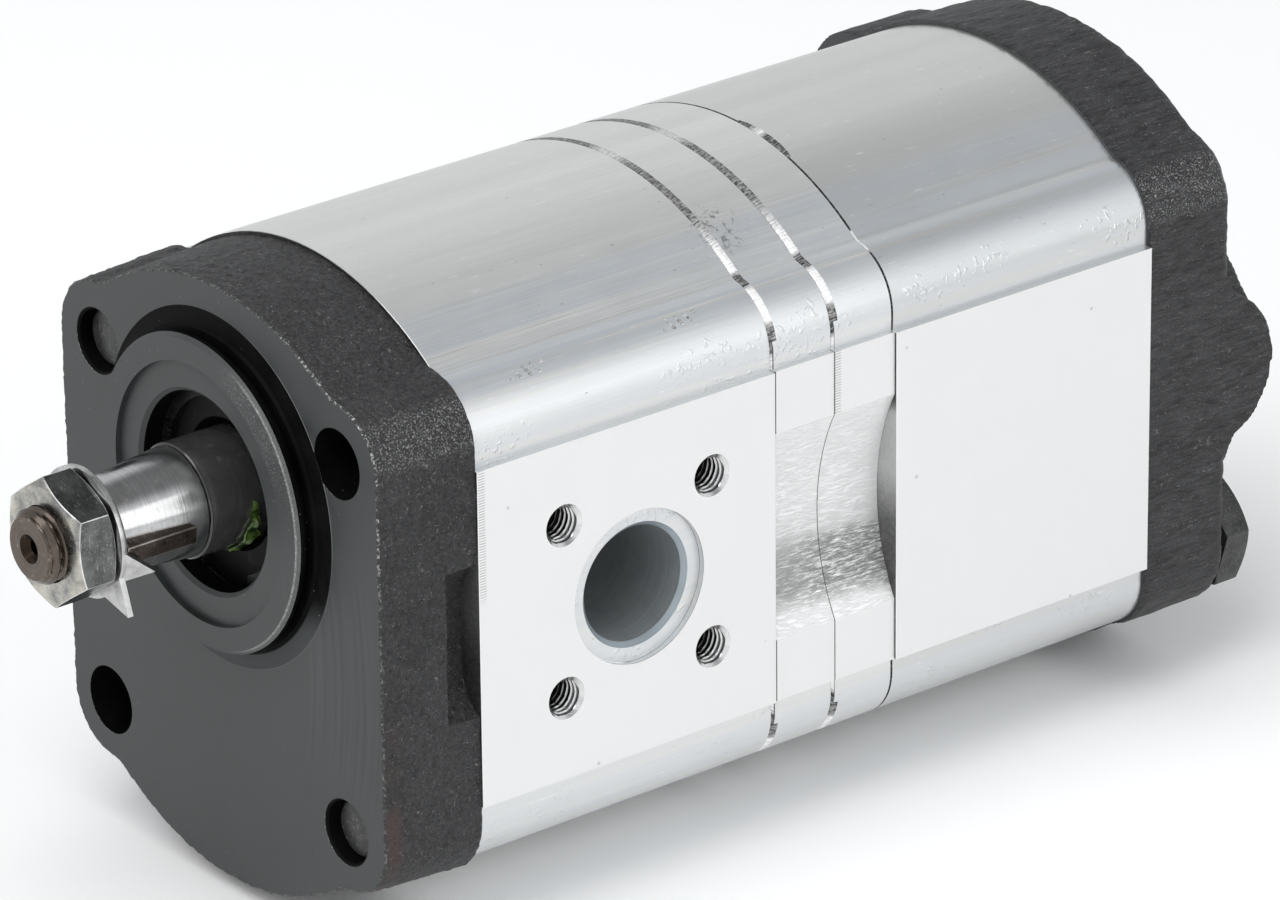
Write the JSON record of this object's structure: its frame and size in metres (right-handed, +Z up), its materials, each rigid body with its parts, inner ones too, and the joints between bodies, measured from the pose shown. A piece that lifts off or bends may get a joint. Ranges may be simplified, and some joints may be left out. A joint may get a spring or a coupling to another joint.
{
  "type": "hydraulic gear pump",
  "caption": "Tandem gear pump with black cast end covers, bright extruded bodies, a side suction port, and a tapered keyed shaft in a round centring spigot.",
  "frame": {"origin": "where the drive shaft's axis meets the mounting face of the front cover", "axes": "-Y the way the shaft points, +X towards the suction port, +Z up from the driven gears to the drive gears"},
  "size_m": [0.0829, 0.2112, 0.1022],
  "materials": {
    "cover_iron": "black phosphated casting",
    "body_aluminium": "bright extruded and milled",
    "plate_aluminium": "bright extruded",
    "block_aluminium": "fine turned",
    "shaft_steel": "ground and hardened",
    "gear_steel": "ground and hardened",
    "nut_steel": "zinc plated",
    "washer_steel": "zinc plated",
    "key_steel": "browned",
    "screw_steel": "black oxide",
    "ring_steel": "spring steel",
    "bush_bronze": "bronze bearing surface",
    "seal_rubber": "moulded"
  },
  "bodies": {
    "housing": {"front_cover": "cover_iron", "rear_cover": "cover_iron", "front_body": "body_aluminium", "rear_body": "body_aluminium", "front_plate": "plate_aluminium", "rear_plate": "plate_aluminium", "shaft_seal": "seal_rubber", "seal_retaining_ring": "ring_steel", "dowel_pins": "ring_steel", "upper_assembly_screw": "screw_steel", "lower_assembly_screw": "screw_steel", "front_section_front_block": "block_aluminium", "front_section_front_block_seals": "seal_rubber", "front_section_front_block_upper_bush": "bush_bronze", "front_section_front_block_lower_bush": "bush_bronze", "front_section_rear_block": "block_aluminium", "front_section_rear_block_seals": "seal_rubber", "front_section_rear_block_upper_bush": "bush_bronze", "front_section_rear_block_lower_bush": "bush_bronze", "rear_section_front_block": "block_aluminium", "rear_section_front_block_seals": "seal_rubber", "rear_section_front_block_upper_bush": "bush_bronze", "rear_section_front_block_lower_bush": "bush_bronze", "rear_section_rear_block": "block_aluminium", "rear_section_rear_block_seals": "seal_rubber", "rear_section_rear_block_upper_bush": "bush_bronze", "rear_section_rear_block_lower_bush": "bush_bronze", "front_cover_seal": "seal_rubber", "front_plate_seal": "seal_rubber", "middle_plate_seal": "seal_rubber", "rear_plate_seal": "seal_rubber", "rear_cover_seal": "seal_rubber"},
    "drive_line": {"drive_shaft": "shaft_steel", "shaft_nut": "nut_steel", "tab_washer": "washer_steel", "shaft_key": "key_steel", "coupling_sleeve": "gear_steel", "rear_drive_gear": "gear_steel"},
    "front_driven": {"front_driven_gear": "gear_steel"},
    "rear_driven": {"rear_driven_gear": "gear_steel"}
  },
  "joints": [
    {"name": "drive_shaft_spin", "type": "hinge", "parent": "housing", "child": "drive_line", "pos_m": [0, 0, 0], "axis": [0, 1, 0], "continuous": true},
    {"name": "front_driven_spin", "type": "hinge", "parent": "housing", "child": "front_driven", "pos_m": [0, 0, -0.032], "axis": [0, 1, 0], "continuous": true},
    {"name": "rear_driven_spin", "type": "hinge", "parent": "housing", "child": "rear_driven", "pos_m": [0, 0, -0.032], "axis": [0, 1, 0], "continuous": true}
  ],
  "couplings": [
    {"joint": "front_driven_spin", "follows": "drive_shaft_spin", "ratio": -1},
    {"joint": "rear_driven_spin", "follows": "drive_shaft_spin", "ratio": -1}
  ]
}
